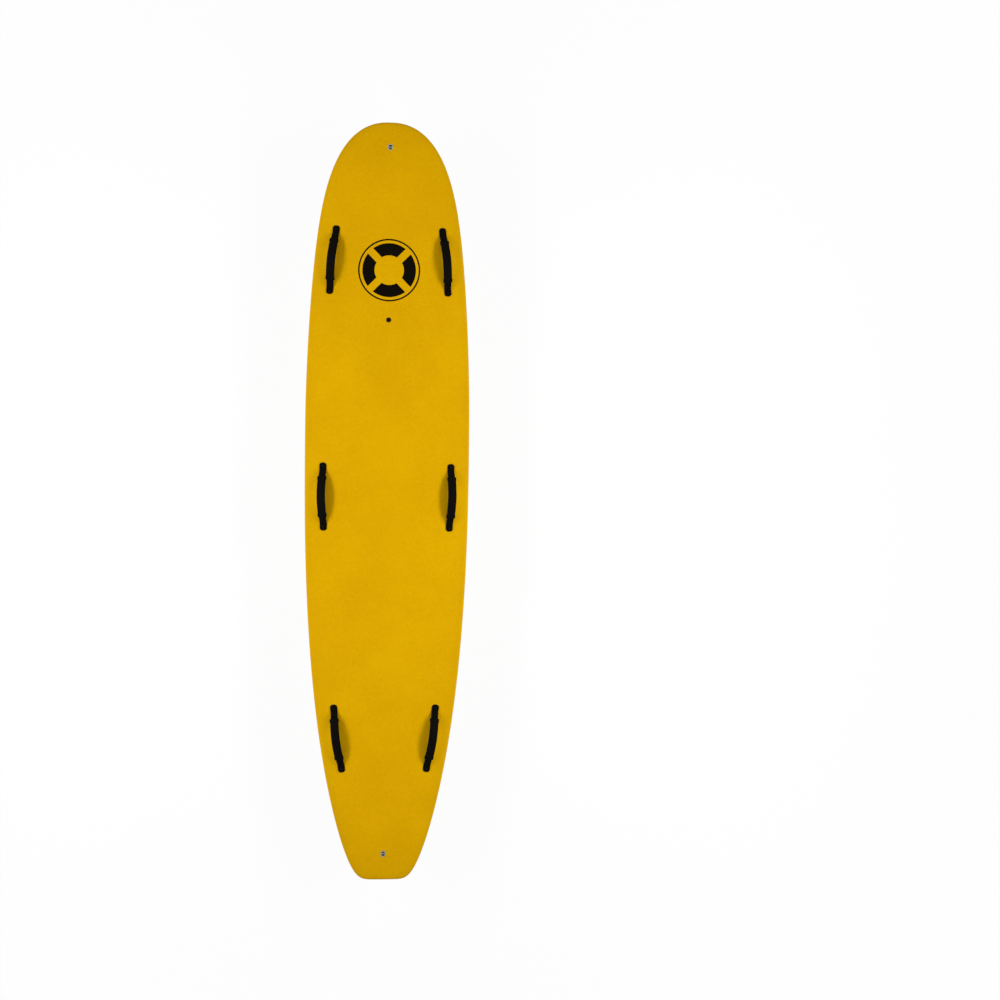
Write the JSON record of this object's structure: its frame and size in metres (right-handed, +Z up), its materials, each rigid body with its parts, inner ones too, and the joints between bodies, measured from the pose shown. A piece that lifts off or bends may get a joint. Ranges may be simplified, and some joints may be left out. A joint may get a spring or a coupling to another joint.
{
  "type": "lifeguard rescue board",
  "caption": "Long soft-top rescue board with rounded rails, arched carry handles along both sides, towing plugs at the ends, a deck vent and a rear fin that slides in its box.",
  "frame": {"origin": "centre of the flat of the bottom, half way along the board", "axes": "+Y towards the nose, +Z up out of the deck, +X to the right side looking at the nose"},
  "size_m": [0.702, 3.2, 0.3324],
  "materials": {
    "deck_foam": "matte",
    "slick_sheet": "satin",
    "core_foam": "matte",
    "stringer_wood": "matte",
    "webbing": "matte",
    "grip_rubber": "matte",
    "black_plastic": "satin",
    "fin_plastic": "satin",
    "box_plastic": "satin",
    "steel": "satin",
    "dark_steel": "satin",
    "brass": "satin",
    "seal_rubber": "matte"
  },
  "bodies": {
    "hull": {"deck_skin": "deck_foam", "bottom_skin": "slick_sheet", "core_left": "core_foam", "core_middle": "core_foam", "core_right": "core_foam", "stringer_left": "stringer_wood", "stringer_right": "stringer_wood", "fin_box": "box_plastic", "nose_plug_cup": "steel", "nose_plug_bar": "steel", "tail_plug_cup": "steel", "tail_plug_bar": "steel", "vent_housing": "black_plastic", "vent_seal": "seal_rubber", "front_left_strap": "webbing", "front_left_fore_screw": "dark_steel", "front_left_aft_screw": "dark_steel", "front_left_fore_insert": "brass", "front_left_aft_insert": "brass", "front_right_strap": "webbing", "front_right_fore_screw": "dark_steel", "front_right_aft_screw": "dark_steel", "front_right_fore_insert": "brass", "front_right_aft_insert": "brass", "middle_left_strap": "webbing", "middle_left_fore_screw": "dark_steel", "middle_left_aft_screw": "dark_steel", "middle_left_fore_insert": "brass", "middle_left_aft_insert": "brass", "middle_right_strap": "webbing", "middle_right_fore_screw": "dark_steel", "middle_right_aft_screw": "dark_steel", "middle_right_fore_insert": "brass", "middle_right_aft_insert": "brass", "rear_left_strap": "webbing", "rear_left_fore_screw": "dark_steel", "rear_left_aft_screw": "dark_steel", "rear_left_fore_insert": "brass", "rear_left_aft_insert": "brass", "rear_right_strap": "webbing", "rear_right_fore_screw": "dark_steel", "rear_right_aft_screw": "dark_steel", "rear_right_fore_insert": "brass", "rear_right_aft_insert": "brass"},
    "fin_carriage": {"fin": "fin_plastic", "fin_pin": "brass", "fin_plate": "steel"},
    "fin_screw": {"fin_screw": "steel"},
    "vent_screw": {"vent_screw": "dark_steel"},
    "front_left_handle": {"front_left_grip": "grip_rubber"},
    "front_right_handle": {"front_right_grip": "grip_rubber"},
    "middle_left_handle": {"middle_left_grip": "grip_rubber"},
    "middle_right_handle": {"middle_right_grip": "grip_rubber"},
    "rear_left_handle": {"rear_left_grip": "grip_rubber"},
    "rear_right_handle": {"rear_right_grip": "grip_rubber"}
  },
  "joints": [
    {"name": "fin_slide", "type": "slide", "parent": "hull", "child": "fin_carriage", "axis": [0, -0.9961, 0.0885], "range_m": [0, 0.085]},
    {"name": "fin_screw_turn", "type": "hinge", "parent": "fin_carriage", "child": "fin_screw", "pos_m": [0, -1.15197, 0.03428], "axis": [0, -0.0885, -0.9961], "range_deg": [0, 720]},
    {"name": "vent_screw_turn", "type": "hinge", "parent": "hull", "child": "vent_screw", "pos_m": [0, 0.776, 0.11623], "axis": [0, -0.0236, 0.9997], "range_deg": [0, 720]},
    {"name": "front_left_lean", "type": "hinge", "parent": "hull", "child": "front_left_handle", "pos_m": [-0.237, 1.025, 0.11437], "axis": [0.1008, 0.9927, 0.0662], "range_deg": [-35, 35], "stiffness_Nm_per_rad": 0.2, "deforming": ["front_left_strap"]},
    {"name": "front_right_lean", "type": "hinge", "parent": "hull", "child": "front_right_handle", "pos_m": [0.237, 1.025, 0.11437], "axis": [-0.1008, 0.9927, 0.0662], "range_deg": [-35, 35], "stiffness_Nm_per_rad": 0.2, "deforming": ["front_right_strap"]},
    {"name": "middle_left_lean", "type": "hinge", "parent": "hull", "child": "middle_left_handle", "pos_m": [-0.26866, 0.026, 0.09797], "axis": [-0.0175, 0.9998, -0.0013], "range_deg": [-35, 35], "stiffness_Nm_per_rad": 0.2, "deforming": ["middle_left_strap"]},
    {"name": "middle_right_lean", "type": "hinge", "parent": "hull", "child": "middle_right_handle", "pos_m": [0.26866, 0.026, 0.09797], "axis": [0.0175, 0.9998, -0.0013], "range_deg": [-35, 35], "stiffness_Nm_per_rad": 0.2, "deforming": ["middle_right_strap"]},
    {"name": "rear_left_lean", "type": "hinge", "parent": "hull", "child": "rear_left_handle", "pos_m": [-0.19697, -0.996, 0.10751], "axis": [-0.1374, 0.9903, -0.0212], "range_deg": [-35, 35], "stiffness_Nm_per_rad": 0.2, "deforming": ["rear_left_strap"]},
    {"name": "rear_right_lean", "type": "hinge", "parent": "hull", "child": "rear_right_handle", "pos_m": [0.19697, -0.996, 0.10751], "axis": [0.1374, 0.9903, -0.0212], "range_deg": [-35, 35], "stiffness_Nm_per_rad": 0.2, "deforming": ["rear_right_strap"]}
  ]
}
